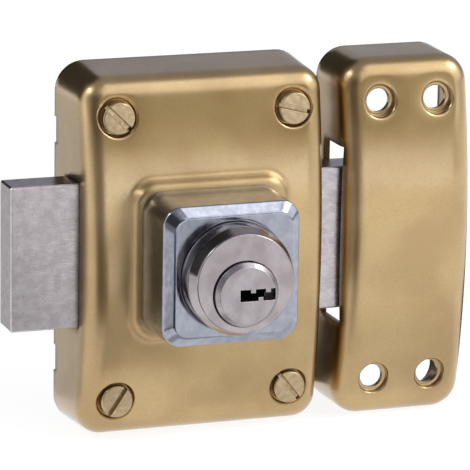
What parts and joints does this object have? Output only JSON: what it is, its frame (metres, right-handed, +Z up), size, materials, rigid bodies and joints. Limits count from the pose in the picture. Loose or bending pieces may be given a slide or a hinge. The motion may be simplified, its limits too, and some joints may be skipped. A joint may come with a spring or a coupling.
{
  "type": "double cylinder deadbolt",
  "caption": "Surface-mounted door lock with a flat through bolt, a keyed cylinder on each face of the door and a separate strike box.",
  "frame": {"origin": "On the door's face, at the centre of the case and of the four holes that fix its plate.", "axes": "+X along the bolt to the strike, -Y out of the door into the room, +Z up."},
  "size_m": [0.1476, 0.1192, 0.114],
  "materials": {
    "gold_lacquer": "satin gold lacquer on pressed steel",
    "screw_brass": "turned brass",
    "zinc_plated_steel": "zinc-plated steel",
    "bolt_steel": "satin drawn steel",
    "rail_zinc": "die-cast zinc alloy",
    "spring_steel": "blued spring steel",
    "collar_chrome": "polished bright plating",
    "barrel_nickel": "satin nickel",
    "plug_nickel": "satin nickel",
    "cam_steel": "sintered steel",
    "pin_brass": "brass"
  },
  "bodies": {
    "case": {"case_cover": "gold_lacquer", "cover_screws": "screw_brass", "cover_pillars": "zinc_plated_steel", "base_plate": "zinc_plated_steel", "upper_guide_rail": "rail_zinc", "lower_guide_rail": "rail_zinc", "rail_screws": "zinc_plated_steel", "detent_spring": "spring_steel", "spring_screw": "zinc_plated_steel", "cylinder_collar": "collar_chrome", "collar_screws": "zinc_plated_steel", "inner_cylinder_barrel": "barrel_nickel", "inner_ring_nut": "zinc_plated_steel", "inner_driver_pins": "pin_brass", "inner_pin_springs": "spring_steel", "inner_chamber_plugs": "pin_brass", "outer_cylinder_barrel": "barrel_nickel", "outer_rose": "barrel_nickel", "outer_fixing_screws": "zinc_plated_steel", "outer_driver_pins": "pin_brass", "outer_pin_springs": "spring_steel", "outer_chamber_plugs": "pin_brass", "strike_box": "gold_lacquer"},
    "bolt": {"bolt": "bolt_steel"},
    "inner_plug": {"inner_plug": "plug_nickel", "inner_plug_clip": "spring_steel", "inner_cam": "cam_steel", "inner_cam_clip": "spring_steel", "inner_key_pins": "pin_brass"},
    "outer_plug": {"outer_plug": "plug_nickel", "outer_plug_clip": "spring_steel", "outer_cam": "cam_steel", "outer_cam_clip": "spring_steel", "outer_key_pins": "pin_brass"}
  },
  "joints": [
    {"name": "bolt_slide", "type": "slide", "parent": "case", "child": "bolt", "axis": [1, 0, 0], "range_m": [-0.0175, 0.0175], "deforming": ["detent_spring"]},
    {"name": "inner_plug_turn", "type": "hinge", "parent": "case", "child": "inner_plug", "pos_m": [0, -0.05, -0.003], "axis": [0, 1, 0], "range_deg": [-360, 360]},
    {"name": "outer_plug_turn", "type": "hinge", "parent": "case", "child": "outer_plug", "pos_m": [0, 0.02, -0.003], "axis": [0, 1, 0], "range_deg": [-360, 360]}
  ],
  "couplings": [
    {"joint": "inner_plug_turn", "follows": "bolt_slide", "rad_per_m": 359},
    {"joint": "outer_plug_turn", "follows": "bolt_slide", "rad_per_m": 359}
  ]
}
